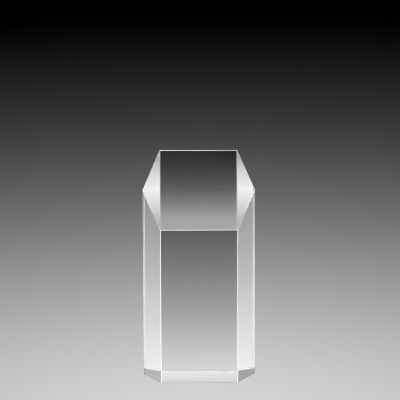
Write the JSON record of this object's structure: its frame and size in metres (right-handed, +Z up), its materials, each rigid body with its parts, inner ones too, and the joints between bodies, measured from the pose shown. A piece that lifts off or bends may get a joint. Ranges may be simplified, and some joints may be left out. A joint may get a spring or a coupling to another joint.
{
  "type": "crystal award",
  "caption": "Clear crystal award: an upright hexagonal column, wider than deep, cut to a slanted top, with bevelled edges and a flat base to stand on.",
  "frame": {"origin": "centre of the base, on the surface that the award stands on", "axes": "+Z up, -Y towards the front, where the slanted top is lowest, +X to the viewer's right seen from the front"},
  "size_m": [0.0756, 0.04, 0.1524],
  "materials": {
    "optical_crystal": "polished and clear, with no coating"
  },
  "bodies": {
    "root": {"crystal_block": "optical_crystal"}
  },
  "joints": []
}
